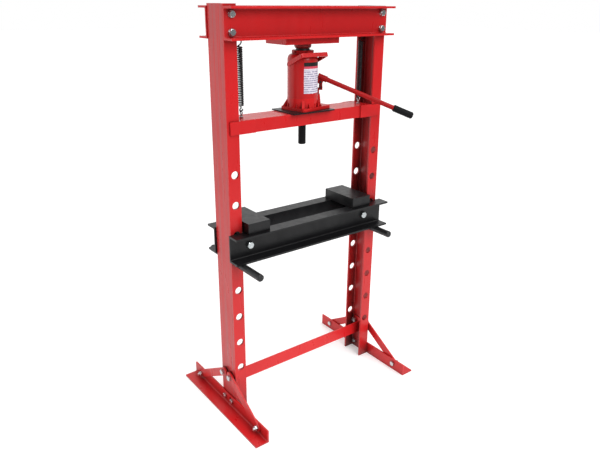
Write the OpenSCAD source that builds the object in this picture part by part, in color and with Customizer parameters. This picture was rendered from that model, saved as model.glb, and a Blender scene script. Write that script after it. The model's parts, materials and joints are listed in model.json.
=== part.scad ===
// Hydraulic shop press, H-frame, hand pumped bottle jack.
// Millimetres, +Z up, +X to the operator's right, -Y towards the operator.
// The origin is on the floor, midway between the uprights.

/* [Frame] */
// Height of the uprights above the floor
frame_h = 1490; // [1420:10:1560]
// Width over the outer faces of the uprights
frame_w = 690; // [660:10:760]
// Depth of every rolled channel (its web)
channel_d = 100; // [96:2:110]
// Flange width of the uprights
upright_flange = 47; // [44:1:48]
// Flange width of the top beams and the bed
beam_flange = 50; // [44:1:52]
// Web thickness of the channels
web_t = 5.5; // [4.5:0.5:6.5]
// Flange thickness of the channels
flange_t = 7; // [6:0.5:8]
// Height of the underside of the top beams
top_beam_z = 1383; // [1378:1:1388]

/* [Height adjustment] */
// Number of pin holes in each flange
hole_count = 8; // [6:1:8]
// Height of the highest pin hole
hole_top_z = 947; // [930:1:960]
// Distance from one pin hole to the next
hole_pitch = 108.3; // [104:0.1:110]
// Diameter of the pin holes
hole_d = 28; // [27:0.5:30]
// Pin hole that carries the bed, counted from the top
bed_hole = 4; // [4:1:6]
// Diameter of the bed pins
bed_pin_d = 26; // [22:1:26]
// Length of the bed pins
bed_pin_l = 330; // [300:10:340]

/* [Bed] */
// Length of the bed beyond each upright
bed_over = 14.5; // [5:0.5:25]
// Size of an arbor plate along the bed
arbor_w = 90; // [70:5:95]
// Size of an arbor plate across the bed
arbor_d = 170; // [140:5:190]
// Thickness of the arbor plates
arbor_t = 40; // [25:1:40]

/* [Ram beam] */
// Height of the underside of the ram beam
ram_beam_z = 1084; // [1080:1:1088]
// Height of the ram beam itself
ram_beam_h = 44; // [40:1:46]
// Diameter of the press pin
press_pin_d = 28; // [24:1:30]
// Length of press pin that shows under the ram beam
press_pin_l = 79; // [60:1:80]

/* [Jack] */
// Radius of the oil tank
tank_r = 54; // [51:1:54]
// Turn of the jack body about the ram, seen from above
jack_turn = 11; // [8:1:14]
// Direction of the pump handle, seen from above (0 is +X)
handle_turn = -40; // [-44:1:-36]
// Slope of the pump handle at rest
handle_slope = -21.7; // [-23:0.1:-20]
// Diameter of the handle tube
handle_d = 17; // [16:0.5:17]
// Length of the handle from the plunger pin to its free end
handle_l = 383; // [340:1:420]

/* [Feet] */
// Length of each foot
foot_l = 546; // [500:2:600]
// Height of the foot angle
foot_h = 50; // [46:1:56]
// Width of the foot angle on the floor
foot_w = 56; // [50:1:60]
// Thickness of the foot angle and the braces
foot_t = 6; // [5:0.5:6]

/* [Hidden] */

// Colours
RED = [0.80, 0.10, 0.11];
BLACK = [0.10, 0.10, 0.11];
ZINC = [0.78, 0.78, 0.74];
STEEL = [0.45, 0.42, 0.40];

// Smoothness of round faces and fillets
ROUND = 48;
// Clearance of a bolt in its hole, across the diameter
BOLT_SLACK = 1;
// Working gap between parts that slide on each other
SLIDE_GAP = 0.5;
// Gap under a loose part that rests on another
REST_GAP = 0.3;
// Radial play of a shaft that runs in a bore
FIT = 0.05;
// Cut length beyond a face, so that a hole goes cleanly through
CUT = 1;

half_w = frame_w / 2;
half_d = channel_d / 2;
web_in = half_w - web_t;             // inner face of an upright's web
lip_x = half_w - upright_flange;     // inner edge of an upright's flanges
hole_x = half_w - 25.5;              // column of pin holes and beam bolts
channel_fillet = 4;
right_top_drop = 6;                  // the right upright ends almost level with the beams
rear_beam_shift = -4;                // the rear beam stands a little out on the left

// Frame fasteners: M14 at the beams and the top of the braces, M12 at the feet
bolt_d = 14;
bolt_af = 20;
bolt_head = 9;
nut_t = 11;
washer_d = 22.5;
washer_t = 2;
small_d = 12;
small_af = 18;
small_head = 7.5;
small_nut_t = 10;
beam_bolt_z = [top_beam_z + channel_d / 2 - 27, top_beam_z + channel_d / 2 + 27];

// Thrust plate under the top beams
thrust_l = 230;
thrust_d = 120;
thrust_t = 22;
thrust_z = top_beam_z - thrust_t;

// Springs hang from rods between the two top beams
spring_x = 264;
spring_y = -10;
spring_od = 18;
spring_wire = 3;
spring_z0 = 1170;
spring_z1 = 1360;
spring_loop_r = 6.8;
hanger_d = 10;
hanger_z = top_beam_z + 9;
eye_r = 6.5;
eye_wire = 4;
eye_z = 1148;
eye_shank_d = 8;
hook_gap = 0.3;

// Feet and braces
brace_w = 32;
brace_t = foot_t;
brace_top = [26, 141];               // upper bolt, distance from centre and height
brace_low = [212, 29];               // lower bolt
brace_end = 8;                       // bar beyond the bolt before the round end
foot_bolt = [25.4, 30];
spare_hole = [-12, 36];
spare_hole_d = 10;

// Cross bar between the uprights
cross_h = 50;
cross_t = 6;
cross_z = 92.5;
cross_end_d = 70;
cross_end_h = 68;
cross_end_t = 5;

// Ram beam
ram_half_d = half_d + SLIDE_GAP;
ram_top = ram_beam_z + ram_beam_h;
ram_half_l = lip_x - 1.5;
ram_wall = 6;
guide_in = 237;
guide_out = 335;
guide_t = 6;
pin_socket_d = 50;
pin_socket_wall_top = ram_top - ram_wall;
set_screw_d = 8;

// Jack heights
jack_plate_t = 4.5;
jack_z = ram_top + jack_plate_t;
base_foot_t = 11;
tank_z0 = jack_z + 43.5;
tank_z1 = jack_z + 171.5;
gland_z0 = jack_z + 188.5;
shoulder_r = 12;
gland_z1 = jack_z + 205.5;
gland_r = 38.5;
gland_plug_r = 34;
ram_r = 24.5;
ram_z0 = jack_z + 19;
piston_r = 28;
piston_h = 9;
cyl_r = 33;
cyl_z0 = jack_z + 12;
cyl_floor = 5;
tank_wall = 3;
saddle_r = 30;
saddle_h = 16;
screw_r = 15;
screw_l = 105;
filler_r = 5;
filler_turn = jack_turn + 105;
filler_z = tank_z1 - 18;

// Pump
pump_r = 70;                         // distance of the pump from the ram axis
pump_xy = [pump_r * cos(jack_turn), pump_r * sin(jack_turn)];
barrel_r = 13;
barrel_z0 = jack_z + 26;
barrel_z1 = jack_z + 69;
boss_h = 47;
valve_r = 6;
valve_y = 38;
valve_boss_r = 10;
valve_z = 20;
plunger_r = 7;
lever_reach = 20;                    // fulcrum pin to plunger pin, level distance
plunger_pin_z = jack_z + 98.1;
fulcrum_z = plunger_pin_z + lever_reach * tan(handle_slope);
lug_z = jack_z + 71;
link_pin_r = 4;
link_t = 8;
cheek_t = 4;
cheek_gap = 0.3;
cheek_in = link_t / 2 + cheek_gap;
tube_rise = 16;                      // handle axis above the pins
socket_r = 11;
socket_s0 = 4;
socket_s1 = 40;
socket_stop = 4;
eye_out_r = 6.5;
slot = [-0.4, 1.8];                  // travel of the plunger pin along the lever, both ways
slot_play = 0.35;
grip_r = 12.5;
grip_l = 78;

// Bed
bed_shift = 7;                       // the bed lies a little to the right of the middle
bed_pin_x = hole_x;
bed_pin_z = hole_top_z - (bed_hole - 1) * hole_pitch - (hole_d - bed_pin_d) / 2 + REST_GAP;
bed_z = bed_pin_z + bed_pin_d / 2 + REST_GAP;
bed_top = bed_z + channel_d;
bed_half_d = half_d + SLIDE_GAP;
bed_half_l = half_w + bed_over;
bed_bolt_x = 272;
bed_bolt_z = bed_z + channel_d / 2;
bed_bolt_d = 16;
bed_bolt_af = 24;
bed_bolt_head = 10;
bed_nut_t = 13;
bed_spacer_d = 26;
arbor_left_x = -248;
arbor_right_x = 235;
left_pin_y = -199;
right_pin_y = -165;

// ---------- shared shapes ----------

// Round bar along +Z
module bar(r, z0, z1) {
    translate([0, 0, z0]) cylinder(r = r, h = z1 - z0, $fn = ROUND);
}

// Hexagon bar along +Z with a turned chamfer on its top edge
module hex_bar(af, h) {
    corner = af / cos(30);
    intersection() {
        cylinder(d = corner, h = h, $fn = 6);
        union() {
            cylinder(d = corner + CUT, h = h - 1.5, $fn = ROUND);
            translate([0, 0, h - 1.5]) cylinder(d1 = corner + CUT, d2 = af - 1.5, h = 1.5, $fn = ROUND);
        }
    }
}

// Hexagon bolt: head from z = 0 up, shank downwards
module hex_bolt(d, af, head, length) {
    hex_bar(af, head);
    bar(d / 2, -length, 0.01);
}

// Hexagon nut from z = 0 up
module hex_nut(d, af, h) {
    difference() {
        hex_bar(af, h);
        bar(d / 2, -CUT, h + CUT);
    }
}

// Flat ring from z = 0 up
module ring(d_out, d_in, h) {
    difference() {
        bar(d_out / 2, 0, h);
        bar(d_in / 2, -CUT, h + CUT);
    }
}

// Section of a rolled channel: web on the Y axis, flanges towards +X
module channel_section(depth, flange) {
    r = channel_fillet;
    y = depth / 2 - flange_t;
    difference() {
        translate([0, -depth / 2]) square([flange, depth]);
        translate([web_t + r, -y]) square([flange, 2 * y]);
        translate([web_t, -y + r]) square([flange, 2 * (y - r)]);
        for (s = [-1, 1])
            translate([web_t + r, s * (y - r)]) circle(r = r, $fn = ROUND);
    }
}

// Channel along X: back of the web on y = 0, flanges towards +Y, underside on z = 0
module beam_channel(length) {
    translate([0, 0, channel_d / 2])
        rotate([90, 0, 90])
            linear_extrude(length, center = true) channel_section(channel_d, beam_flange);
}

// Drilled hole along Y through everything from y0 to y1
module hole_y(x, z, d, y0, y1) {
    translate([x, y1, z]) rotate([90, 0, 0]) cylinder(d = d, h = y1 - y0, $fn = ROUND);
}

// Drilled hole along X
module hole_x_axis(y, z, d, x0, x1) {
    translate([x0, y, z]) rotate([0, 90, 0]) cylinder(d = d, h = x1 - x0, $fn = ROUND);
}

// Turns +Z to point along -Y (front) or +Y (rear) at a given place
module facing_y(side, x, y, z) {
    translate([x, y, z]) rotate([side < 0 ? 90 : -90, 0, 0]) children();
}

// Turns +Z to point outwards along X on the given side
module facing_x(side, x, y, z) {
    translate([x, y, z]) rotate([0, side * 90, 0]) children();
}

// ---------- frame ----------

// Left upright of a given height; the right one is its mirror image
module upright(height) {
    difference() {
        translate([-half_w, 0, 0]) linear_extrude(height) channel_section(channel_d, upright_flange);
        for (i = [0 : hole_count - 1])
            hole_y(-hole_x, hole_top_z - i * hole_pitch, hole_d, -half_d - CUT, half_d + CUT);
        for (z = beam_bolt_z)
            hole_y(-hole_x, z, bolt_d + BOLT_SLACK, -half_d - CUT, half_d + CUT);
        for (s = [-1, 1]) {
            hole_x_axis(s * foot_bolt[0], foot_bolt[1], small_d + BOLT_SLACK,
                -half_w - CUT, -web_in + CUT);
            hole_x_axis(s * brace_top[0], brace_top[1], bolt_d + BOLT_SLACK,
                -half_w - CUT, -web_in + CUT);
        }
    }
}

module left_upright() { color(RED) upright(frame_h); }
module right_upright() { color(RED) mirror([1, 0, 0]) upright(frame_h - right_top_drop); }

// Rear top beam with its bolt holes, its channel pushed along X; the front one is its mirror image
module top_beam(shift) {
    difference() {
        translate([shift, half_d, top_beam_z]) beam_channel(frame_w);
        for (x = [-hole_x, hole_x], z = beam_bolt_z)
            hole_y(x, z, bolt_d + BOLT_SLACK, half_d - CUT, half_d + web_t + CUT);
    }
}

module top_beam_rear() { color(RED) top_beam(rear_beam_shift); }
module top_beam_front() { color(RED) mirror([0, 1, 0]) top_beam(0); }

// Thick plate that takes the thrust of the jack
module thrust_plate() {
    color(RED) translate([-thrust_l / 2, -thrust_d / 2, thrust_z]) cube([thrust_l, thrust_d, thrust_t]);
}

// Places its children at the eight top beam bolts, pointing out of the beam
module at_beam_bolts(y) {
    for (side = [-1, 1], x = [-hole_x, hole_x], z = beam_bolt_z)
        facing_y(side, x, side * y, z) children();
}

module beam_bolts() {
    grip = washer_t + web_t + flange_t + washer_t + nut_t + 3;
    color(ZINC) at_beam_bolts(half_d + web_t + washer_t) hex_bolt(bolt_d, bolt_af, bolt_head, grip);
}

module beam_washers() {
    color(ZINC) {
        at_beam_bolts(half_d + web_t) ring(washer_d, bolt_d, washer_t);
        at_beam_bolts(half_d - flange_t - washer_t) ring(washer_d, bolt_d, washer_t);
    }
}

module beam_nuts() {
    color(ZINC) at_beam_bolts(half_d - flange_t - washer_t - nut_t) hex_nut(bolt_d, bolt_af, nut_t);
}

// Rods welded between the two top beams; they carry the springs
module spring_hangers() {
    color(RED) for (x = [-spring_x, spring_x]) hole_y(x, hanger_z, hanger_d, -half_d, half_d);
}

// ---------- feet ----------

// Left foot: angle with its upright leg on the web, the other leg out on the floor
module foot() {
    r = 5;
    difference() {
        translate([-half_w, foot_l / 2, 0]) rotate([90, 0, 0]) linear_extrude(foot_l)
            difference() {
                translate([-foot_w, 0]) square([foot_w, foot_h]);
                translate([-foot_w - CUT, foot_t + r]) square([foot_w - foot_t + CUT, foot_h]);
                translate([-foot_w - CUT, foot_t]) square([foot_w - foot_t - r + CUT, foot_h]);
                translate([-foot_t - r, foot_t + r]) circle(r = r, $fn = ROUND);
            }
        for (s = [-1, 1], place = [foot_bolt, brace_low])
            hole_x_axis(s * place[0], place[1], small_d + BOLT_SLACK,
                -half_w - foot_t - CUT, -half_w + CUT);
        hole_x_axis(spare_hole[0], spare_hole[1], spare_hole_d,
            -half_w - foot_t - CUT, -half_w + CUT);
    }
}

module left_foot() { color(RED) foot(); }
module right_foot() { color(RED) mirror([1, 0, 0]) foot(); }

// Rear brace of the left foot: flat bar with round ends, outside the foot angle
module brace() {
    run = brace_low - brace_top;
    span = norm(run);
    slope = atan2(run[1], run[0]);
    x0 = -half_w - foot_t - brace_t;
    difference() {
        translate([x0, brace_top[0], brace_top[1]]) rotate([slope, 0, 0]) rotate([90, 0, 90])
            linear_extrude(brace_t) union() {
                translate([-brace_end, -brace_w / 2]) square([span + brace_end, brace_w]);
                translate([-brace_end, 0]) circle(d = brace_w, $fn = ROUND);
                translate([span, 0]) circle(d = brace_w, $fn = ROUND);
            }
        hole_x_axis(brace_top[0], brace_top[1], bolt_d + BOLT_SLACK, x0 - CUT, x0 + brace_t + CUT);
        hole_x_axis(brace_low[0], brace_low[1], small_d + BOLT_SLACK, x0 - CUT, x0 + brace_t + CUT);
    }
}

module left_rear_brace() { color(RED) brace(); }
module left_front_brace() { color(RED) mirror([0, 1, 0]) brace(); }
module right_rear_brace() { color(RED) mirror([1, 0, 0]) brace(); }
module right_front_brace() { color(RED) mirror([1, 0, 0]) mirror([0, 1, 0]) brace(); }

// Places its children at a pair of bolts on each side, pointing outwards
module at_foot_bolts(place, x) {
    for (side = [-1, 1], s = [-1, 1])
        facing_x(side, side * x, s * place[0], place[1]) children();
}

// Rings that fill the space between the web and the top of each brace
module brace_spacers() {
    color(RED) at_foot_bolts(brace_top, half_w) ring(washer_d, bolt_d, foot_t);
}

module brace_bolts() {
    head_x = half_w + foot_t + brace_t;
    color(ZINC) {
        at_foot_bolts(brace_top, head_x)
            hex_bolt(bolt_d, bolt_af, bolt_head, head_x - web_in + cross_end_t + nut_t + 3);
        at_foot_bolts(brace_low, half_w) mirror([0, 0, 1])
            hex_bolt(small_d, small_af, small_head, foot_t + brace_t + small_nut_t + 7);
    }
}

module brace_nuts() {
    color(ZINC) {
        at_foot_bolts(brace_top, web_in - cross_end_t - nut_t) hex_nut(bolt_d, bolt_af, nut_t);
        at_foot_bolts(brace_low, half_w + foot_t + brace_t) hex_nut(small_d, small_af, small_nut_t);
    }
}

module foot_bolts() {
    color(ZINC) at_foot_bolts(foot_bolt, half_w + foot_t)
        hex_bolt(small_d, small_af, small_head, foot_t + web_t + small_nut_t + 3);
}

module foot_nuts() {
    color(ZINC) at_foot_bolts(foot_bolt, web_in - small_nut_t)
        hex_nut(small_d, small_af, small_nut_t);
}

// Flat bar between the uprights
module cross_bar() {
    reach = web_in - cross_end_t;
    color(RED) translate([-reach, -cross_t / 2, cross_z]) cube([2 * reach, cross_t, cross_h]);
}

// Plates at the ends of the cross bar; the upper brace bolts hold them to the webs
module cross_bar_plates() {
    color(RED) difference() {
        for (side = [-1, 1])
            translate([side * (web_in - cross_end_t / 2) - cross_end_t / 2, -cross_end_d / 2, cross_z])
                cube([cross_end_t, cross_end_d, cross_end_h]);
        for (s = [-1, 1])
            hole_x_axis(s * brace_top[0], brace_top[1], bolt_d + BOLT_SLACK,
                -half_w - CUT, half_w + CUT);
    }
}

// ---------- ram beam (moves down with the jack body) ----------

// Channel with its web on top and both flanges down
module ram_beam() {
    color(RED) difference() {
        translate([-ram_half_l, -ram_half_d, ram_beam_z])
            cube([2 * ram_half_l, 2 * ram_half_d, ram_beam_h]);
        translate([-ram_half_l - CUT, -ram_half_d + ram_wall, ram_beam_z - CUT])
            cube([2 * (ram_half_l + CUT), 2 * (ram_half_d - ram_wall), ram_beam_h - ram_wall + CUT]);
        for (x = [-spring_x, spring_x])
            translate([x, spring_y, 0]) bar(eye_shank_d / 2 + 0.25, ram_beam_z, ram_top + CUT);
    }
}

// Four plates welded to the ends of the ram beam; they run on the upright flanges
module guide_plates() {
    color(RED) for (side = [-1, 1], end = [-1, 1])
        translate([end * (guide_in + guide_out) / 2, side * (ram_half_d + guide_t / 2),
            ram_beam_z + ram_beam_h / 2])
            cube([guide_out - guide_in, guide_t, ram_beam_h], center = true);
}

// Thick ring welded under the web; it holds the press pin
module pin_socket() {
    color(RED) difference() {
        bar(pin_socket_d / 2, ram_beam_z, pin_socket_wall_top);
        bar(press_pin_d / 2, ram_beam_z - CUT, pin_socket_wall_top + CUT);
        hole_y(0, ram_beam_z + 14, set_screw_d, -pin_socket_d, 0);
    }
}

module press_pin() {
    color(BLACK) {
        bar(press_pin_d / 2, ram_beam_z - press_pin_l + 2, pin_socket_wall_top);
        translate([0, 0, ram_beam_z - press_pin_l])
            cylinder(r1 = press_pin_d / 2 - 2, r2 = press_pin_d / 2, h = 2, $fn = ROUND);
    }
}

// Square-headed screw that clamps the press pin
module pin_set_screw() {
    color(ZINC) {
        hole_y(0, ram_beam_z + 14, set_screw_d, -pin_socket_d / 2 - 6, -press_pin_d / 2);
        translate([-5, -pin_socket_d / 2 - 12, ram_beam_z + 9]) cube([10, 7, 10]);
    }
}

// ---------- jack body (rides on the ram beam) ----------

// Turns its children with the jack body
module jack_frame() {
    rotate([0, 0, jack_turn]) translate([0, 0, jack_z]) children();
}

// Thin plate between the ram beam and the jack
module jack_plate() {
    color(BLACK) translate([-88, -71, ram_top]) cube([182, 138, jack_plate_t]);
}

// Cast foot: plate, coned hub, pump boss and short ribs
module jack_base() {
    x0 = -tank_r - 1;
    x1 = 93;
    y1 = 57;
    r = 9;
    h = tank_z0 - jack_z;
    rib_h = 24;
    rib_t = 5;
    rib_l = 16;
    gusset_t = 10;
    gusset_l = 70;
    gusset_h = h - 6;
    valve_wall = 1.7 * valve_boss_r;
    color(RED) jack_frame() difference() {
        union() {
            linear_extrude(base_foot_t) union() {
                translate([x0 + r, -y1]) square([x1 - x0 - 2 * r, 2 * y1]);
                translate([x0, -y1 + r]) square([x1 - x0, 2 * (y1 - r)]);
                for (x = [x0 + r, x1 - r], y = [-y1 + r, y1 - r])
                    translate([x, y]) circle(r = r, $fn = ROUND);
            }
            bar(tank_r + 0.5, 0, h);
            for (turn = [45 : 90 : 315])
                rotate([0, 0, turn]) translate([0, gusset_t / 2, 0]) rotate([90, 0, 0])
                    linear_extrude(gusset_t) polygon([[40, 2], [gusset_l, 2],
                        [gusset_l, base_foot_t + 2], [tank_r, gusset_h], [40, gusset_h]]);
            translate([pump_r, 0, 0]) cylinder(r1 = 23, r2 = 18, h = boss_h, $fn = ROUND);
            translate([40, valve_y, valve_z]) rotate([0, 90, 0])
                cylinder(r = valve_boss_r, h = x1 - 41, $fn = ROUND);
            translate([41, valve_y - valve_wall / 2, 3]) cube([x1 - 43, valve_wall, valve_z - 3]);
            for (x = [-22, 6, 24], s = [-1, 1])
                translate([x - rib_t / 2, s * (y1 - 1 - rib_l / 2) - rib_l / 2, 4])
                    cube([rib_t, rib_l, rib_h - 4]);
            for (y = [-22, 22])
                translate([x0 + 1.5, y - rib_t / 2, 4]) cube([rib_l, rib_t, rib_h - 4]);
        }
        translate([60, valve_y, valve_z]) rotate([0, 90, 0])
            cylinder(r = valve_r + FIT, h = 60, $fn = ROUND);
        translate([pump_r, 0, barrel_z0 - jack_z]) cylinder(r = barrel_r, h = 40, $fn = ROUND);
        bar(cyl_r, cyl_z0 - jack_z, h + CUT);
        bar(tank_r + 0.3, h, boss_h + CUT);
    }
}

// Turns +Z outwards at the oil filler, on the back of the tank
module at_filler(r) {
    rotate([0, 0, filler_turn]) translate([r, 0, filler_z]) rotate([0, 90, 0]) children();
}

// Oil tank: drawn shell with a rounded shoulder
module jack_tank() {
    z0 = tank_z0;
    z1 = tank_z1;
    z2 = gland_z0 + 4;
    color(RED) difference() {
        rotate_extrude($fn = ROUND * 2) polygon(concat(
            [[tank_r - tank_wall, z0], [tank_r, z0]],
            [for (a = [0 : 15 : 90])
                [tank_r - shoulder_r * (1 - cos(a)), z1 + (z2 - z1) * sin(a)]],
            [[gland_plug_r, z2], [gland_plug_r, z2 - 4], [tank_r - shoulder_r - 2, z2 - 5],
                [tank_r - tank_wall, z1 - 4]]
        ));
        at_filler(tank_r - tank_wall - CUT) bar(filler_r, 0, 2 * tank_wall);
    }
}

// Thick pressure tube inside the tank
module pressure_cylinder() {
    color(STEEL) difference() {
        bar(cyl_r, cyl_z0, gland_z0 - 2);
        bar(piston_r + FIT, cyl_z0 + cyl_floor, gland_z0);
    }
}

// Screwed ring that closes the tank round the ram
module gland_nut() {
    color(RED) difference() {
        union() {
            bar(gland_plug_r, gland_z0 - 2, gland_z0 + 5);
            difference() {
                bar(gland_r, gland_z0 + 4, gland_z1);
                for (a = [0 : 60 : 300]) rotate([0, 0, a + jack_turn])
                    translate([gland_r + 1.5, 0, 0]) bar(5, gland_z0 + 8, gland_z1 + CUT);
            }
        }
        bar(ram_r + FIT, gland_z0 - 5, gland_z1 + CUT);
    }
}

// Ram: piston at the foot, bored out at the top for the extension screw
module jack_ram() {
    color(STEEL) difference() {
        union() {
            bar(piston_r, ram_z0, ram_z0 + piston_h);
            bar(ram_r, ram_z0 + piston_h - 1, thrust_z - saddle_h - 2);
        }
        bar(screw_r, thrust_z - saddle_h - screw_l - 10, thrust_z);
    }
}

// Extension screw in the ram, with its saddle against the thrust plate
module saddle_screw() {
    color(STEEL) {
        bar(screw_r, thrust_z - saddle_h - screw_l, thrust_z - saddle_h - 2);
        bar(screw_r + 6, thrust_z - saddle_h - 2, thrust_z - saddle_h);
    }
}

module saddle() {
    color(RED) difference() {
        union() {
            translate([0, 0, thrust_z - saddle_h])
                cylinder(r1 = saddle_r - 4, r2 = saddle_r, h = 5, $fn = ROUND);
            bar(saddle_r, thrust_z - saddle_h + 5, thrust_z);
        }
        bar(8, thrust_z - 5, thrust_z + CUT);
    }
}

// Flat steel carry handle, welded to the sides of the tank and sloping up to the front
module carry_handle() {
    half = tank_r + 4;
    strap = 4;
    r = 5;
    front = 80;
    back = 8;
    slope = 24;
    h = 14;
    color(RED) translate([0, 0, tank_z1 - 16]) rotate([-slope, 0, 0]) linear_extrude(h)
        difference() {
            union() {
                translate([-half, -front + r]) square([2 * half, front + back - r]);
                translate([-half + r, -front]) square([2 * (half - r), r + CUT]);
                for (s = [-1, 1]) translate([s * (half - r), -front + r]) circle(r = r, $fn = ROUND);
            }
            translate([-half + strap, -front + strap]) square([2 * (half - strap), front + back]);
        }
}

// Rubber plug of the oil filler
module filler_plug() {
    color(BLACK) {
        at_filler(tank_r - tank_wall) bar(filler_r, 0, tank_wall + 1.5);
        at_filler(tank_r + 0.7) bar(filler_r + 3, 0, 4);
    }
}

// Thin curved label on the front of the tank
module jack_label() {
    span = 84;
    color("white") rotate([0, 0, jack_turn - 91 - span / 2]) rotate_extrude(angle = span, $fn = ROUND * 2)
        translate([tank_r, jack_z + 61]) square([0.3, 106]);
}

// ---------- pump ----------

// Turns its children to the plane of the pump lever: +X outwards along the handle
module pump_frame() {
    translate([pump_xy[0], pump_xy[1], 0]) rotate([0, 0, handle_turn]) children();
}

// Pin across the lever plane
module cross_pin(t, z, r, half) {
    translate([t, half, z]) rotate([90, 0, 0]) cylinder(r = r, h = 2 * half, $fn = ROUND);
}

// Barrel in the base, with two ears that hold the link
module pump_barrel() {
    ear_r = 7;
    color(RED) pump_frame() difference() {
        union() {
            bar(barrel_r, barrel_z0, barrel_z1);
            bar(barrel_r + 2, barrel_z1 - 20, barrel_z1 - 6);
            for (s = [-1, 1])
                translate([0, s * (cheek_in + cheek_t / 2) - cheek_t / 2, 0]) {
                    translate([0, 0, lug_z - 9]) cube([lever_reach + 2, cheek_t, 7]);
                    translate([lever_reach, cheek_t, lug_z]) rotate([90, 0, 0])
                        cylinder(r = ear_r, h = cheek_t, $fn = ROUND);
                    translate([lever_reach - ear_r, 0, lug_z - 9]) cube([2 * ear_r, cheek_t, 9]);
                }
        }
        bar(plunger_r + FIT, jack_z + 32, barrel_z1 + CUT);
        cross_pin(lever_reach, lug_z, link_pin_r, 20);
    }
}

// Plunger with a flat head between the cheeks of the lever
module pump_plunger() {
    stem_half = 5.7;
    color(STEEL) pump_frame() difference() {
        union() {
            bar(plunger_r, jack_z + 50, plunger_pin_z - 13);
            translate([-stem_half, -link_t / 2, plunger_pin_z - 14])
                cube([2 * stem_half, link_t, 14]);
            cross_pin(0, plunger_pin_z, eye_out_r, link_t / 2);
        }
        cross_pin(0, plunger_pin_z, link_pin_r, 20);
    }
}

module plunger_pin() {
    color(ZINC) pump_frame() cross_pin(0, plunger_pin_z, link_pin_r, cheek_in + cheek_t + 2);
}

// Short bar that carries the fulcrum of the lever
module pump_link() {
    r = 6.5;
    color(STEEL) pump_frame() difference() {
        union() {
            translate([lever_reach - r, -link_t / 2, lug_z]) cube([2 * r, link_t, fulcrum_z - lug_z]);
            for (z = [lug_z, fulcrum_z]) cross_pin(lever_reach, z, r, link_t / 2);
        }
        for (z = [lug_z, fulcrum_z]) cross_pin(lever_reach, z, link_pin_r, link_t);
    }
}

module link_pins() {
    color(ZINC) pump_frame() for (z = [lug_z, fulcrum_z])
        cross_pin(lever_reach, z, link_pin_r, cheek_in + cheek_t + 2);
}

// Turns its children along the handle: origin on the plunger pin, +X down the handle
module lever_frame() {
    pump_frame() translate([0, 0, plunger_pin_z]) rotate([0, -handle_slope, 0]) children();
}

// Slot along the lever round the plunger pin, right across the lever plane
module slotted(r, half) {
    for (x = slot) cross_pin(x, 0, r, half);
    translate([slot[0], -half, -r]) cube([slot[1] - slot[0], 2 * half, 2 * r]);
}

// Lever: handle socket on two cheeks that hang on the fulcrum pin
module pump_lever() {
    arm = lever_reach / cos(handle_slope);
    cheek_r = 7.5;
    color(RED) lever_frame() difference() {
        union() {
            translate([socket_s0, 0, tube_rise]) rotate([0, 90, 0])
                cylinder(r = socket_r, h = socket_s1 - socket_s0, $fn = ROUND);
            for (s = [-1, 1])
                translate([0, s * (cheek_in + cheek_t / 2) - cheek_t / 2, 0]) {
                    for (x = [0, arm])
                        translate([x, cheek_t, 0]) rotate([90, 0, 0])
                            cylinder(r = cheek_r, h = cheek_t, $fn = ROUND);
                    translate([0, 0, -cheek_r]) cube([arm, cheek_t, 2 * cheek_r]);
                    translate([socket_s0, 0, 0]) cube([arm + cheek_r - socket_s0, cheek_t, tube_rise - 2]);
                }
        }
        translate([socket_s0 + socket_stop, 0, tube_rise]) rotate([0, 90, 0])
            cylinder(r = handle_d / 2 + FIT, h = socket_s1, $fn = ROUND);
        slotted(eye_out_r + 2 * slot_play, cheek_in);
        cross_pin(arm, 0, eye_out_r + slot_play, cheek_in);
        cross_pin(arm, 0, link_pin_r + FIT, 20);
        slotted(link_pin_r + slot_play, 20);
    }
}

// Steel tube that fits the socket of the lever
module handle_tube() {
    s0 = socket_s0 + socket_stop + REST_GAP;
    s1 = handle_l - 3;
    color(RED) lever_frame() translate([s0, 0, tube_rise]) rotate([0, 90, 0]) difference() {
        cylinder(d = handle_d, h = s1 - s0, $fn = ROUND);
        translate([0, 0, -CUT]) cylinder(d = handle_d - 4, h = s1 - s0 + 2 * CUT, $fn = ROUND);
    }
}

// Ribbed rubber grip with a closed round end
module handle_grip() {
    ribs = 9;
    pitch = 7;
    color(BLACK) lever_frame() translate([handle_l - grip_l, 0, tube_rise]) rotate([0, 90, 0])
        difference() {
            union() {
                cylinder(r1 = grip_r - 2, r2 = grip_r, h = 3, $fn = ROUND);
                bar(grip_r, 3, grip_l - 4);
                translate([0, 0, grip_l - 4]) cylinder(r1 = grip_r, r2 = grip_r - 4, h = 4, $fn = ROUND);
            }
            bar(handle_d / 2, -CUT, grip_l - 3);
            for (i = [1 : ribs]) translate([0, 0, i * pitch + 1]) difference() {
                bar(grip_r + 1, 0, 2);
                bar(grip_r - 1, -CUT, 3);
            }
        }
}

// Screw that lets the oil back into the tank, with a slot for the handle's end
module release_valve() {
    color(ZINC) jack_frame() translate([62, valve_y, valve_z]) rotate([0, 90, 0]) difference() {
        union() {
            bar(valve_r, 0, 32);
            bar(9, 31.5, 38);
        }
        translate([-2, -12, 34.5]) cube([4, 24, 10]);
    }
}

// ---------- springs ----------

// Loop of wire across X, centred at z
module wire_loop(r, wire, z) {
    translate([0, 0, z]) rotate([90, 0, 0]) rotate_extrude($fn = ROUND)
        translate([r, 0]) circle(d = wire, $fn = 24);
}

// Close-wound extension spring with a loop at each end
module spring() {
    top = hanger_z + hanger_d / 2 + spring_wire / 2 - spring_loop_r + hook_gap;
    low = eye_z + eye_r - eye_wire / 2 + spring_loop_r - spring_wire / 2 - hook_gap;
    difference() {
        bar(spring_od / 2, spring_z0, spring_z1);
        bar(spring_od / 2 - spring_wire, spring_z0 + spring_wire, spring_z1 - spring_wire);
    }
    bar(spring_wire / 2, spring_z1 - 1, top - spring_loop_r);
    bar(spring_wire / 2, low + spring_loop_r - 0.5, spring_z0 + 1);
    wire_loop(spring_loop_r, spring_wire, top);
    wire_loop(spring_loop_r, spring_wire, low);
}

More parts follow.
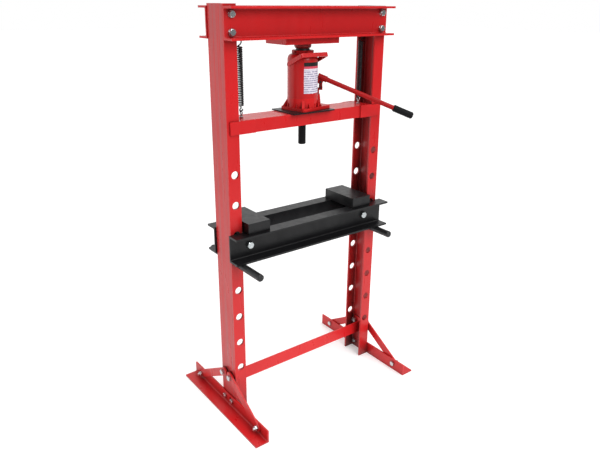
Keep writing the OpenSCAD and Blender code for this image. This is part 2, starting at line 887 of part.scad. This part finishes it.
module left_spring() { color(BLACK) translate([-spring_x, spring_y, 0]) spring(); }
module right_spring() { color(BLACK) translate([spring_x, spring_y, 0]) spring(); }

// Eye bolts through the web of the ram beam
module eye_bolts() {
    color(ZINC) for (x = [-spring_x, spring_x]) translate([x, spring_y, 0]) {
        rotate([0, 0, 90]) wire_loop(eye_r, eye_wire, eye_z);
        bar(eye_shank_d / 2, ram_top - ram_wall - 14, eye_z - eye_r);
    }
}

module eye_nuts() {
    color(ZINC) for (x = [-spring_x, spring_x]) translate([x, spring_y, 0]) {
        translate([0, 0, ram_top]) hex_nut(eye_shank_d, 13, 6);
        translate([0, 0, ram_top - ram_wall - 7]) hex_nut(eye_shank_d, 13, 7);
    }
}

// ---------- bed ----------

// Rear bed channel; the front one is its mirror image
module bed_channel() {
    difference() {
        translate([bed_shift, bed_half_d, bed_z]) beam_channel(2 * bed_half_l);
        for (x = [-bed_bolt_x, bed_bolt_x])
            hole_y(x, bed_bolt_z, bed_bolt_d + BOLT_SLACK, bed_half_d - CUT, bed_half_d + web_t + CUT);
    }
}

module bed_channel_rear() { color(BLACK) bed_channel(); }
module bed_channel_front() { color(BLACK) mirror([0, 1, 0]) bed_channel(); }

// Tubes on the bolts that keep the two channels apart
module bed_spacers() {
    color(BLACK) for (x = [-bed_bolt_x, bed_bolt_x])
        facing_y(1, x, -bed_half_d, bed_bolt_z) ring(bed_spacer_d, bed_bolt_d, 2 * bed_half_d);
}

module bed_bolts() {
    out = bed_half_d + web_t;
    color(ZINC) for (x = [-bed_bolt_x, bed_bolt_x])
        facing_y(-1, x, -out, bed_bolt_z)
            hex_bolt(bed_bolt_d, bed_bolt_af, bed_bolt_head, 2 * out + bed_nut_t + 4);
}

module bed_nuts() {
    color(ZINC) for (x = [-bed_bolt_x, bed_bolt_x])
        facing_y(1, x, bed_half_d + web_t, bed_bolt_z) hex_nut(bed_bolt_d, bed_bolt_af, bed_nut_t);
}

// Round bar with chamfered ends, along Y from its front end
module bed_pin(x, y) {
    c = 1.5;
    r = bed_pin_d / 2;
    facing_y(1, x, y, bed_pin_z) {
        cylinder(r1 = r - c, r2 = r, h = c, $fn = ROUND);
        bar(r, c, bed_pin_l - c);
        translate([0, 0, bed_pin_l - c]) cylinder(r1 = r, r2 = r - c, h = c, $fn = ROUND);
    }
}

module left_bed_pin() { color(BLACK) bed_pin(-bed_pin_x, left_pin_y); }
module right_bed_pin() { color(BLACK) bed_pin(bed_pin_x, right_pin_y); }

// Loose steel block across both bed channels
module arbor_plate(x) {
    color(BLACK) translate([x - arbor_w / 2, -arbor_d / 2, bed_top + REST_GAP])
        cube([arbor_w, arbor_d, arbor_t]);
}

module left_arbor_plate() { arbor_plate(arbor_left_x); }
module right_arbor_plate() { arbor_plate(arbor_right_x); }

left_upright();
right_upright();
top_beam_front();
top_beam_rear();
thrust_plate();
beam_bolts();
beam_washers();
beam_nuts();
spring_hangers();
left_foot();
right_foot();
left_front_brace();
left_rear_brace();
right_front_brace();
right_rear_brace();
brace_spacers();
brace_bolts();
brace_nuts();
foot_bolts();
foot_nuts();
cross_bar();
cross_bar_plates();
ram_beam();
guide_plates();
pin_socket();
press_pin();
pin_set_screw();
jack_plate();
jack_base();
jack_tank();
pressure_cylinder();
gland_nut();
jack_ram();
saddle_screw();
saddle();
carry_handle();
filler_plug();
jack_label();
pump_barrel();
pump_plunger();
plunger_pin();
pump_link();
link_pins();
pump_lever();
handle_tube();
handle_grip();
release_valve();
left_spring();
right_spring();
eye_bolts();
eye_nuts();
bed_channel_front();
bed_channel_rear();
bed_spacers();
bed_bolts();
bed_nuts();
left_bed_pin();
right_bed_pin();
left_arbor_plate();
right_arbor_plate();
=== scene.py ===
"""Hydraulic shop press: looks, lights and camera round the fixed CAD frame."""

import json
import math

import bpy
from mathutils import Matrix, Vector

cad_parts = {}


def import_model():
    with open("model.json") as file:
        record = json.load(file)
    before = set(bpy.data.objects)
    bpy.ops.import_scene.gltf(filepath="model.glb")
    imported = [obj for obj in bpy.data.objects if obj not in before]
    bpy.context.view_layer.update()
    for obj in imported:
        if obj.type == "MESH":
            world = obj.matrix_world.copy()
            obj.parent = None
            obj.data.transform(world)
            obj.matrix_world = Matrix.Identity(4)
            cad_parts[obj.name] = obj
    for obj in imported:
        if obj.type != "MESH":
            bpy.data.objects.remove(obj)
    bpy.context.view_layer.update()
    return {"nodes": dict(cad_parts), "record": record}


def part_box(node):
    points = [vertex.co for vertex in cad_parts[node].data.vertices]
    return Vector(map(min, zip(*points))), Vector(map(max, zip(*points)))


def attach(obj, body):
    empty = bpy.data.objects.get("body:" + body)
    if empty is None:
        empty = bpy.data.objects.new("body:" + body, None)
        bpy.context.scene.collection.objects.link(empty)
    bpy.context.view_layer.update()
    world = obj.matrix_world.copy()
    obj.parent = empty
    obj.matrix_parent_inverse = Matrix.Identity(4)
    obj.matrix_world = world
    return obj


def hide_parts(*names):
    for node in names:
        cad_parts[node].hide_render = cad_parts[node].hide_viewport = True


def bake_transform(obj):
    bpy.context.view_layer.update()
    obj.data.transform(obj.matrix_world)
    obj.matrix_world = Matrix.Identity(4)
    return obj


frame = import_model()
nodes = frame["nodes"]

MM = 0.001
TAU = 2 * math.pi


# ---------- materials ----------

COAT_ROUGH = 0.12
CORNER_SAMPLES = 6


class Shader:
    """A Principled material with a few helpers for procedural detail."""

    def __init__(self, name, color, rough, metallic=0.0, coat=0.0):
        self.mat = bpy.data.materials.new(name)
        self.mat.use_nodes = True
        self.tree = self.mat.node_tree
        self.bsdf = self.tree.nodes["Principled BSDF"]
        self.put("Base Color", (*color, 1.0))
        self.put("Roughness", rough)
        self.put("Metallic", metallic)
        self.put("Coat Weight", coat)
        self.put("Coat Roughness", COAT_ROUGH)
        self.mat.diffuse_color = (*color, 1.0)
        self.coords = self.tree.nodes.new("ShaderNodeTexCoord")

    def put(self, socket, value):
        self.bsdf.inputs[socket].default_value = value

    def link(self, a, b):
        self.tree.links.new(a, b)

    def noise(self, scale, detail=3.0, stretch=(1, 1, 1), distortion=0.0):
        """Noise of 0 to 1 fixed to the object; a small stretch along an axis draws it out there."""
        mapping = self.tree.nodes.new("ShaderNodeMapping")
        mapping.inputs["Scale"].default_value = stretch
        self.link(self.coords.outputs["Object"], mapping.inputs["Vector"])
        node = self.tree.nodes.new("ShaderNodeTexNoise")
        node.inputs["Scale"].default_value = scale
        node.inputs["Detail"].default_value = detail
        node.inputs["Distortion"].default_value = distortion
        self.link(mapping.outputs["Vector"], node.inputs["Vector"])
        return node.outputs["Fac"]

    def ramp(self, fac, stops):
        """Colour of fac, from stops of (position, colour)."""
        node = self.tree.nodes.new("ShaderNodeValToRGB")
        ramp = node.color_ramp
        while len(ramp.elements) < len(stops):
            ramp.elements.new(0.5)
        for element, (pos, color) in zip(ramp.elements, stops):
            element.position = pos
            element.color = (*color, 1.0)
        self.link(fac, node.inputs["Fac"])
        return node.outputs["Color"]

    def span(self, fac, low, high, from_low=0.3, from_high=0.7):
        """fac from from_low to from_high, spread over low to high and held there beyond them."""
        node = self.tree.nodes.new("ShaderNodeMapRange")
        node.inputs["From Min"].default_value = from_low
        node.inputs["From Max"].default_value = from_high
        node.inputs["To Min"].default_value = low
        node.inputs["To Max"].default_value = high
        self.link(fac, node.inputs["Value"])
        return node.outputs["Result"]

    def mix(self, fac, a, b):
        """Colour a where fac is 0, b where it is 1; each a colour or a socket."""
        node = self.tree.nodes.new("ShaderNodeMix")
        node.data_type = "RGBA"
        self.link(fac, node.inputs["Factor"])
        for socket, value in (("A", a), ("B", b)):
            target = [i for i in node.inputs if i.name == socket and i.type == "RGBA"][0]
            if isinstance(value, tuple):
                target.default_value = (*value, 1.0)
            else:
                self.link(value, target)
        return [o for o in node.outputs if o.type == "RGBA"][0]

    def math(self, operation, a, b=0.0):
        """One Math node; a and b are each a float or a socket."""
        node = self.tree.nodes.new("ShaderNodeMath")
        node.operation = operation
        for socket, value in zip(node.inputs, (a, b)):
            if isinstance(value, float):
                socket.default_value = value
            else:
                self.link(value, socket)
        return node.outputs[0]

    def axis(self, vector, letter):
        """One of the X, Y and Z of a vector socket."""
        split = self.tree.nodes.new("ShaderNodeSeparateXYZ")
        self.link(vector, split.inputs["Vector"])
        return split.outputs[letter]

    def across_x(self):
        """1 on faces that look along X, 0 on those that look along Y or Z."""
        return self.math("ABSOLUTE", self.axis(self.coords.outputs["Normal"], "X"))

    def color(self, source):
        self.link(source, self.bsdf.inputs["Base Color"])

    def rough(self, source):
        self.link(source, self.bsdf.inputs["Roughness"])

    def open_air(self, reach):
        """1 on open faces, lower inside channels and corners."""
        node = self.tree.nodes.new("ShaderNodeAmbientOcclusion")
        node.samples = CORNER_SAMPLES
        node.inputs["Distance"].default_value = reach
        return node.outputs["AO"]

    def bump(self, height, strength, distance):
        """Relief from a socket of 0 to 1; distance is its depth in metres."""
        node = self.tree.nodes.new("ShaderNodeBump")
        node.inputs["Strength"].default_value = strength
        node.inputs["Distance"].default_value = distance
        self.link(height, node.inputs["Height"])
        self.link(node.outputs["Normal"], self.bsdf.inputs["Normal"])


def shade(color, factor):
    return tuple(min(1.0, c * factor) for c in color)


DUST = (0.24, 0.16, 0.16)
# Stretch that draws a noise out along Z, into streaks
DRAWN_OUT = (1.0, 1.0, 0.015)


def powder_coat(name, color, rough, peel=0.05, coat=0.0, worn=(0.35, 0.33, 0.32), gloss=0.4,
                reach=0.05, painted_shade=None, streaks=0.0):
    """Powder coat: slow colour drift, orange peel, scuffs that dull it, painted shade in the
    corners.

    reach is how far, in metres, a wall paints shade on its neighbour; streaks run along Z on side
    faces.
    """
    s = Shader(name, color, rough, coat=coat)
    drift = s.noise(scale=5.0, detail=4.0)
    scuff = s.noise(scale=38.0, detail=6.0, stretch=(1.0, 1.0, 0.25), distortion=0.6)
    chip = s.noise(scale=120.0, detail=8.0)
    base = s.ramp(drift, [(0.30, shade(color, 0.90)), (0.55, color), (0.75, shade(color, 1.07))])
    spots = s.span(chip, 0.0, 0.35, from_low=0.78, from_high=0.84)
    paint = s.mix(spots, base, worn)
    if streaks:
        threads = s.noise(scale=110.0, stretch=DRAWN_OUT)
        lines = s.span(threads, 0.0, streaks, from_low=0.42, from_high=0.72)
        paint = s.mix(s.math("MULTIPLY", lines, s.across_x()), paint, DUST)
    # Painted shade: ambient occlusion darkens the colour inside channels and corners, towards the
    # shade colour
    unshaded = s.span(s.open_air(reach), 0.0, 1.0, from_low=0.20, from_high=0.74)
    s.color(s.mix(unshaded, painted_shade or shade(color, 0.3), paint))
    s.rough(s.span(scuff, rough * 0.85, rough * 1.35))
    s.put("Specular IOR Level", gloss)
    s.bump(s.noise(scale=420.0, detail=2.0), peel, 0.6 * MM)
    return s.mat


def steel(name, color, rough, grain=(1, 1, 1), metallic=1.0):
    """Bare or plated steel: grain, along one axis where it is stretched, stains, uneven polish."""
    s = Shader(name, color, rough, metallic=metallic)
    stain = s.noise(scale=22.0, detail=5.0)
    lines = s.noise(scale=260.0, detail=4.0, stretch=grain)
    s.color(s.ramp(stain, [(0.30, shade(color, 0.82)), (0.60, color), (0.80, shade(color, 1.12))]))
    s.rough(s.span(lines, rough * 0.75, rough * 1.35))
    s.bump(lines, 0.06, 0.4 * MM)
    return s.mat


def rubber(name, color, rough):
    """Matt rubber: fine grain and a slow change of tone."""
    s = Shader(name, color, rough)
    grain = s.noise(scale=700.0)
    tone = s.noise(scale=30.0, detail=4.0)
    s.color(s.ramp(tone, [(0.3, shade(color, 0.8)), (0.7, shade(color, 1.35))]))
    s.rough(s.span(grain, rough * 0.9, rough * 1.1))
    s.bump(grain, 0.12, 0.5 * MM)
    s.put("Specular IOR Level", 0.15)
    return s.mat


LABEL_WHITE = (0.74, 0.70, 0.77)
LABEL_INK = (0.30, 0.27, 0.40)
LABEL_RED = (0.62, 0.07, 0.11)
LABEL_DARK = (0.014, 0.015, 0.014)
# Shares of the label's height: where its rows end, and where its red band and heading begin
ROWS_END, RED_BAND, HEADING = 0.76, 0.80, 0.875
SOFT_EDGE = 0.005


def printed_label(name, low, high):
    """White film from low to high with a dark heading, a red band and broken pale rows."""
    s = Shader(name, (0.85, 0.83, 0.84), 0.40)
    s.put("Specular IOR Level", 0.2)
    place = s.coords.outputs["Object"]
    height = s.span(s.axis(place, "Z"), 0.0, 1.0, from_low=low, from_high=high)
    field = s.ramp(height, [
        (0.0, LABEL_WHITE), (RED_BAND, LABEL_WHITE),
        (RED_BAND + SOFT_EDGE, LABEL_RED), (HEADING, LABEL_RED),
        (HEADING + SOFT_EDGE, LABEL_DARK), (1.0, LABEL_DARK)])
    wave = s.tree.nodes.new("ShaderNodeTexWave")
    wave.wave_type = "BANDS"
    wave.bands_direction = "Z"
    wave.inputs["Scale"].default_value = 42.0
    s.link(place, wave.inputs["Vector"])
    rows = s.span(wave.outputs["Fac"], 0.0, 1.0, from_low=0.38, from_high=0.62)
    breaks = s.noise(scale=150.0, detail=2.0, stretch=(1.0, 1.0, 0.5))
    broken = s.span(breaks, 0.0, 1.0, from_low=0.40, from_high=0.46)
    inked = s.math("MULTIPLY", rows, broken)
    inside = s.span(height, 1.0, 0.0, from_low=ROWS_END, from_high=ROWS_END + 2 * SOFT_EDGE)
    s.color(s.mix(s.math("MULTIPLY", inked, inside), field, LABEL_INK))
    s.bump(s.noise(scale=300.0, detail=2.0), 0.03, 0.3 * MM)
    return s.mat


RED = (0.58, 0.012, 0.014)
BLACK = (0.006, 0.006, 0.007)

red = powder_coat("red_powder_coat", RED, 0.30, coat=0.12, gloss=0.3)
# The uprights' copy paints deeper and wider shade inside their channels, in a brownish dark
upright_red = powder_coat("upright_powder_coat", RED, 0.30, coat=0.12, gloss=0.3, reach=0.16,
                          painted_shade=(0.050, 0.010, 0.009), streaks=0.40)
# Painted light: the cross bar's red is a lighter copy of the frame's red
bar_red = powder_coat("cross_bar_powder_coat", shade(RED, 1.15), 0.30, coat=0.12, gloss=0.3)
jack_red = powder_coat("jack_red_paint", (0.50, 0.010, 0.011), 0.30, coat=0.12, gloss=0.3)
red_cast = powder_coat("red_cast_paint", (0.60, 0.010, 0.011), 0.34, peel=0.30, coat=0.1, gloss=0.25)
dark_red = powder_coat("dark_red_paint", (0.36, 0.006, 0.007), 0.32, gloss=0.13)
dark_cast = powder_coat("dark_red_cast_paint", (0.32, 0.014, 0.013), 0.40, peel=0.30)
black = powder_coat("black_paint", BLACK, 0.33, worn=(0.10, 0.10, 0.10), gloss=0.33)
black_block = powder_coat("black_scaled_steel", BLACK, 0.33, peel=0.2,
                          worn=(0.07, 0.07, 0.06), gloss=0.38)
zinc = steel("zinc_plate", (0.56, 0.60, 0.61), 0.24)
dark_steel = steel("black_oxide_steel", (0.030, 0.030, 0.032), 0.38, grain=(1, 0.1, 1), metallic=0.6)
bare_steel = steel("turned_steel", (0.42, 0.40, 0.37), 0.28, grain=(1, 1, 14))
spring_steel = steel("spring_wire", (0.018, 0.018, 0.020), 0.30, metallic=0.55)
pin_black = powder_coat("press_pin_black", BLACK, 0.36, worn=(0.08, 0.08, 0.08), gloss=0.12)
grip_rubber = rubber("grip_rubber", (0.005, 0.005, 0.006), 0.62)
label_low, label_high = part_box("jack_label")
label_film = printed_label("label_film", label_low[2], label_high[2])

MATERIAL_OF_SLOT = {
    "red_paint": red, "black_paint": black, "zinc": zinc, "bare_steel": bare_steel,
    "dark_steel": dark_steel, "spring_steel": spring_steel, "grip_rubber": grip_rubber,
    "label": label_film,
}
# Pieces whose own look differs from the rest of their slot
OWN_MATERIAL = {
    "left_upright": upright_red, "right_upright": upright_red, "cross_bar": bar_red,
    "jack_tank": jack_red, "jack_base": red_cast,
    "gland_nut": dark_red, "pump_barrel": dark_red, "pump_lever": dark_red, "handle_tube": dark_red,
    "saddle": dark_cast, "saddle_screw": dark_cast, "pump_link": dark_cast,
    "left_arbor_plate": black_block, "right_arbor_plate": black_block, "press_pin": pin_black,
    "jack_ram": dark_steel, "pump_plunger": dark_steel, "filler_plug": dark_steel,
    "link_pins": dark_steel, "plunger_pin": dark_steel,
}
# Edges sharper than this are rounded
EDGE_ANGLE = math.radians(38)
# Rounding of each node's edges, in mm; nodes not named here get EDGE
EDGE = 0.5
EDGE_OF_NODE = {
    "left_upright": 1.2, "right_upright": 1.2, "top_beam_front": 1.2, "top_beam_rear": 1.2,
    "bed_channel_front": 1.2, "bed_channel_rear": 1.2, "left_foot": 1.0, "right_foot": 1.0,
    "thrust_plate": 1.2, "ram_beam": 1.5, "guide_plates": 0.8, "left_arbor_plate": 1.6,
    "right_arbor_plate": 1.6, "cross_bar": 0.8, "jack_base": 1.5, "jack_plate": 0.6,
    "carry_handle": 0.8, "gland_nut": 0.8, "jack_label": 0.0,
}


def dress_nodes():
    """Gives each CAD piece its material and its rounded edges."""
    slots = {p["node"]: p["material_slot"] for p in frame["record"]["subparts"]}
    for name, obj in nodes.items():
        mat = OWN_MATERIAL.get(name, MATERIAL_OF_SLOT[slots[name]])
        if not obj.material_slots:
            obj.data.materials.append(mat)
        for material_slot in obj.material_slots:
            material_slot.material = mat
        width = EDGE_OF_NODE.get(name, EDGE) * MM
        if width:
            bevel = obj.modifiers.new("edges", "BEVEL")
            bevel.width = width
            bevel.segments = 2
            bevel.limit_method = "ANGLE"
            bevel.angle_limit = EDGE_ANGLE
            bevel.use_clamp_overlap = True
            bevel.harden_normals = True


# ---------- mesh helpers ----------

# Sides of the tube that makes a spring's wire or a weld bead
TUBE_SIDES = 8


def mesh_object(name, verts, faces, mat):
    data = bpy.data.meshes.new(name)
    data.from_pydata([tuple(v) for v in verts], [], faces)
    data.update()
    data.materials.append(mat)
    data.polygons.foreach_set("use_smooth", [True] * len(data.polygons))
    obj = bpy.data.objects.new(name, data)
    bpy.context.scene.collection.objects.link(obj)
    return obj


def sweep(points, radius, sides):
    """Tube along points; radius is a number or a function of the point's index."""
    verts, faces = [], []
    side = None
    for i, p in enumerate(points):
        ahead = points[min(i + 1, len(points) - 1)] - points[max(i - 1, 0)]
        ahead.normalize()
        if side is None:
            side = ahead.orthogonal().normalized()
        side = (side - ahead * side.dot(ahead)).normalized()
        other = ahead.cross(side)
        r = radius(i) if callable(radius) else radius
        for k in range(sides):
            a = TAU * k / sides
            verts.append(p + side * (r * math.cos(a)) + other * (r * math.sin(a)))
    for i in range(len(points) - 1):
        for k in range(sides):
            n = (k + 1) % sides
            faces.append((i * sides + k, i * sides + n, (i + 1) * sides + n, (i + 1) * sides + k))
    faces.append(tuple(reversed(range(sides))))
    faces.append(tuple(range((len(points) - 1) * sides, len(points) * sides)))
    return verts, faces


def merged(parts):
    """One list of verts and one of faces from several pairs of them."""
    verts, faces = [], []
    for v, f in parts:
        base = len(verts)
        verts.extend(v)
        faces.extend(tuple(i + base for i in face) for face in f)
    return verts, faces


# ---------- springs ----------

WIRE_R = 2.2 * MM
COIL_R = 9.9 * MM - WIRE_R
COIL_LOW, COIL_HIGH = 1170 * MM, 1360 * MM
COIL_TURNS = 33
POINTS_PER_TURN = 16
LOW_LOOP_R, HIGH_LOOP_R = 5.6 * MM, 7.5 * MM
LOOP_POINTS = 20
# From the CAD spring's lower and upper end to the middle of the wire
LOW_INSET, HIGH_INSET = 1.0 * MM, 0.8 * MM
# Points between the turns and the loops, in mm right of the axis and above the turns' end
LEAD_IN = (-2.0, -0.5)
LEAD_OUT = ((-5.5, 1.5), (-2.0, 3.5), (2.0, 6.0), (5.0, 9.0), (6.5, 13.0))


def arc(center, radius, start, turn):
    """Points round center in the XZ plane; start and turn are degrees from +Z towards +X."""
    points = []
    for k in range(LOOP_POINTS):
        a = math.radians(start) + math.radians(turn) * (k / (LOOP_POINTS - 1))
        points.append(center + Vector((radius * math.sin(a), 0, radius * math.cos(a))))
    return points


def coil(x, y):
    """Middle of the wound wire, from the lowest turn up."""
    steps = COIL_TURNS * POINTS_PER_TURN
    points = []
    for k in range(steps + 1):
        t = k / steps
        a = math.pi + TAU * COIL_TURNS * t
        z = COIL_LOW + (COIL_HIGH - COIL_LOW) * t
        points.append(Vector((x + COIL_R * math.cos(a), y + COIL_R * math.sin(a), z)))
    return points


def spring(side):
    """Wound extension spring with a loop at each end, in place of the plain sleeve."""
    node = side + "_spring"
    low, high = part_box(node)
    x = (low[0] + high[0]) / 2
    y = (low[1] + high[1]) / 2
    z_low, z_high = COIL_LOW, COIL_HIGH
    low_loop = Vector((x, y, low[2] + LOW_INSET + LOW_LOOP_R))
    high_loop = Vector((x, y, high[2] - HIGH_INSET - HIGH_LOOP_R))
    points = arc(low_loop, LOW_LOOP_R, start=60, turn=300)
    points.append(Vector((x + LEAD_IN[0] * MM, y, z_low + LEAD_IN[1] * MM)))
    points += coil(x, y)
    for dx, dz in LEAD_OUT:
        points.append(Vector((x + dx * MM, y, z_high + dz * MM)))
    points += arc(high_loop, HIGH_LOOP_R, start=90, turn=-210)
    obj = mesh_object(side + "_spring_wire", *sweep(points, WIRE_R, TUBE_SIDES), spring_steel)
    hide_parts(node)
    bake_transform(obj)


# ---------- welds ----------

BEAD_STEP = 1.3 * MM
# Steps over which a bead's ends grow to full size
BEAD_TAPER = 2.5
# Gap from the end of a seam to the end of its bead, in mm
THRUST_GAP, CROSS_GAP, GUIDE_GAP = 12, 4, 2
# Beads of the thrust plate, in mm: their length along its long edges, their ends across its ends
THRUST_BEAD = 50
END_BEAD_FROM, END_BEAD_TO = 49.5, 20
# Inner end of the guide plates, in mm; the frame's box only gives their outer end
GUIDE_INNER = 237
SOCKET_BEADS = 24


def bead(start, end, size):
    """Rippled weld bead of radius size from one point to another, all in mm."""
    a, b = Vector(start) * MM, Vector(end) * MM
    count = max(4, int((b - a).length / BEAD_STEP))
    points = [a.lerp(b, i / count) for i in range(count + 1)]

    def radius(i):
        taper = min(1.0, (min(i, count - i) + 0.6) / BEAD_TAPER)
        ripple = 0.86 + 0.14 * math.cos(i * TAU / 3) + 0.05 * math.sin(i * 1.7)
        return size * MM * taper * ripple

    return sweep(points, radius, TUBE_SIDES)


def weld(name, lines, size, body):
    """One piece of beads along lines, each a pair of points in mm, that rides on a body."""
    obj = mesh_object(name, *merged([bead(a, b, size) for a, b in lines]), red)
    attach(obj, body)


def mm_box(node):
    """Lowest and highest corner of a CAD node, in mm."""
    low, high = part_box(node)
    return [v / MM for v in low], [v / MM for v in high]


def thrust_plate_welds():
    """Beads along the top edges of the plate under the top beam."""
    (x0, _, _), (x1, y1, z1) = mm_box("thrust_plate")
    lines = []
    for side in (-1, 1):
        for x in (x0, x1):
            lines.append(((x, side * END_BEAD_FROM, z1), (x, side * END_BEAD_TO, z1)))
    for start in (x0 + THRUST_GAP, x1 - THRUST_GAP - THRUST_BEAD):
        for y in (-y1, y1):
            lines.append(((start, y, z1), (start + THRUST_BEAD, y, z1)))
    weld("thrust_plate_welds", lines, size=2.6, body="frame")


def cross_bar_welds():
    """Upright beads on both faces of the bar where it meets its end plates."""
    (x0, y0, z0), (x1, y1, z1) = mm_box("cross_bar")
    lines = []
    for x in (x0, x1):
        for y in (y0, y1):
            lines.append(((x, y, z0 + CROSS_GAP), (x, y, z1 - CROSS_GAP)))
    weld("cross_bar_welds", lines, size=2.4, body="frame")


def guide_plate_welds():
    """Upright beads at the plates' inner ends, and beads along the top of the plates."""
    (_, _, z0), (x1, y1, z1) = mm_box("ram_beam")
    plate_mid = (y1 + mm_box("guide_plates")[1][1]) / 2
    from_x, to_x, top = GUIDE_INNER + 3, x1 - 4.5, z1 - 0.5
    lines = []
    for end in (-1, 1):
        for side in (-1, 1):
            x, y = end * GUIDE_INNER, side * y1
            lines.append(((x, y, z0 + GUIDE_GAP), (x, y, z1 - GUIDE_GAP)))
            y = side * plate_mid
            lines.append(((end * from_x, y, top), (end * to_x, y, top)))
    weld("guide_plate_welds", lines, size=1.9, body="ram_carriage")


def pin_socket_weld():
    """Ring where the socket meets the underside of the ram beam."""
    high = mm_box("pin_socket")[1]
    radius, z = high[0] + 0.5, high[2] - 0.5
    turns = [TAU * k / SOCKET_BEADS for k in range(SOCKET_BEADS + 1)]
    ring = [(radius * math.cos(a), radius * math.sin(a), z) for a in turns]
    weld("pin_socket_weld", zip(ring, ring[1:]), size=2.2, body="ram_carriage")


# ---------- room, light, camera ----------

# Grey of the far floor and of the world on the operator's side, so that they meet unseen
DIM = (0.24, 0.24, 0.24)
FLOOR_SIZE = 60
# The floor is grey up to the first of these, in metres along Y, and pale from the second on
FLOOR_GREY_TO, FLOOR_PALE_FROM = -3.2, -1.0
FLOOR_GLOW = 0.34
# The world's ramp along Y, from 0 in front of the press to 1 behind it
WORLD_DIM_TO, WORLD_WHITE_FROM = 0.30, 0.62
KEY_POWER = 108
SUN_POWER = 1.3
SUN_SPREAD = math.radians(50)
SUN_TILT = (math.radians(28), math.radians(18), 0)
# The photo's camera, in metres, degrees and mm
CAMERA_PLACE = (-1.3088, -1.7182, 1.5012)
CAMERA_YAW, CAMERA_PITCH, CAMERA_ROLL = 37.185, -20.765, 0.508
CAMERA_SENSOR, CAMERA_LENS = 36, 35.60


def room():
    """Pale floor all round the press, falling to grey well in front of it."""
    bpy.ops.mesh.primitive_plane_add(size=1)
    floor = bpy.context.object
    floor.name = "floor"
    floor.scale = (FLOOR_SIZE, FLOOR_SIZE, 1)
    s = Shader("pale_floor", (0.80, 0.80, 0.80), 0.9)
    place = s.tree.nodes.new("ShaderNodeNewGeometry")
    y = s.axis(place.outputs["Position"], "Y")
    near = s.span(y, 0.0, 1.0, from_low=FLOOR_GREY_TO, from_high=FLOOR_PALE_FROM)
    cloud = s.noise(scale=1.5, detail=2.0)
    tone = s.ramp(cloud, [(0.3, (0.79, 0.79, 0.79)), (0.7, (0.81, 0.81, 0.81))])
    s.color(s.mix(near, DIM, tone))
    s.link(s.mix(near, (0.0, 0.0, 0.0), (1.0, 1.0, 1.0)), s.bsdf.inputs["Emission Color"])
    s.put("Emission Strength", FLOOR_GLOW)
    s.put("Specular IOR Level", 0.0)
    floor.data.materials.append(s.mat)


def world():
    """White behind and above the press, dimmer on the operator's side."""
    w = bpy.data.worlds.new("studio")
    bpy.context.scene.world = w
    w.use_nodes = True
    tree = w.node_tree
    back = tree.nodes["Background"]
    coords = tree.nodes.new("ShaderNodeTexCoord")
    split = tree.nodes.new("ShaderNodeSeparateXYZ")
    ramp = tree.nodes.new("ShaderNodeValToRGB")
    remap = tree.nodes.new("ShaderNodeMapRange")
    tree.links.new(coords.outputs["Generated"], split.inputs["Vector"])
    tree.links.new(split.outputs["Y"], remap.inputs["Value"])
    remap.inputs["From Min"].default_value = -1
    remap.inputs["From Max"].default_value = 1
    tree.links.new(remap.outputs["Result"], ramp.inputs["Fac"])
    dim, white = ramp.color_ramp.elements
    dim.position = WORLD_DIM_TO
    dim.color = (*DIM, 1)
    white.position = WORLD_WHITE_FROM
    white.color = (1, 1, 1, 1)
    tree.links.new(ramp.outputs["Color"], back.inputs["Color"])


def area_light(name, place, target, size, power):
    """Rectangular light at place that looks at target."""
    data = bpy.data.lights.new(name, "AREA")
    data.shape = "RECTANGLE"
    data.size, data.size_y = size
    data.energy = power
    obj = bpy.data.objects.new(name, data)
    bpy.context.scene.collection.objects.link(obj)
    obj.location = place
    obj.rotation_euler = (Vector(target) - Vector(place)).to_track_quat("-Z", "Y").to_euler()


def lights():
    """A large light high in front of the press, and a soft sun from above, front and right."""
    area_light("key", (-0.2, -3.9, 3.0), target=(0, 0, 0.7), size=(2.4, 2.4), power=KEY_POWER)
    sun = bpy.data.lights.new("sun", "SUN")
    sun.energy = SUN_POWER
    sun.angle = SUN_SPREAD
    obj = bpy.data.objects.new("sun", sun)
    bpy.context.scene.collection.objects.link(obj)
    obj.rotation_euler = SUN_TILT


def camera():
    """The photo's view, fitted to corners and hole centres of the press."""
    yaw, pitch, roll = (math.radians(v) for v in (CAMERA_YAW, CAMERA_PITCH, CAMERA_ROLL))
    level = math.cos(pitch)
    ahead = Vector((math.sin(yaw) * level, math.cos(yaw) * level, math.sin(pitch)))
    right = Vector((math.cos(yaw), -math.sin(yaw), 0))
    up = right.cross(ahead)
    right_r = right * math.cos(roll) + up * math.sin(roll)
    up_r = up * math.cos(roll) - right * math.sin(roll)
    data = bpy.data.cameras.new("camera")
    data.sensor_width = CAMERA_SENSOR
    data.lens = CAMERA_LENS
    obj = bpy.data.objects.new("camera", data)
    bpy.context.scene.collection.objects.link(obj)
    turn = Matrix((right_r, up_r, -ahead)).transposed().to_4x4()
    obj.matrix_world = Matrix.Translation(CAMERA_PLACE) @ turn
    bpy.context.scene.camera = obj
    bpy.context.scene.view_settings.view_transform = "Standard"


dress_nodes()
spring("left")
spring("right")
thrust_plate_welds()
cross_bar_welds()
guide_plate_welds()
pin_socket_weld()
room()
world()
lights()
camera()
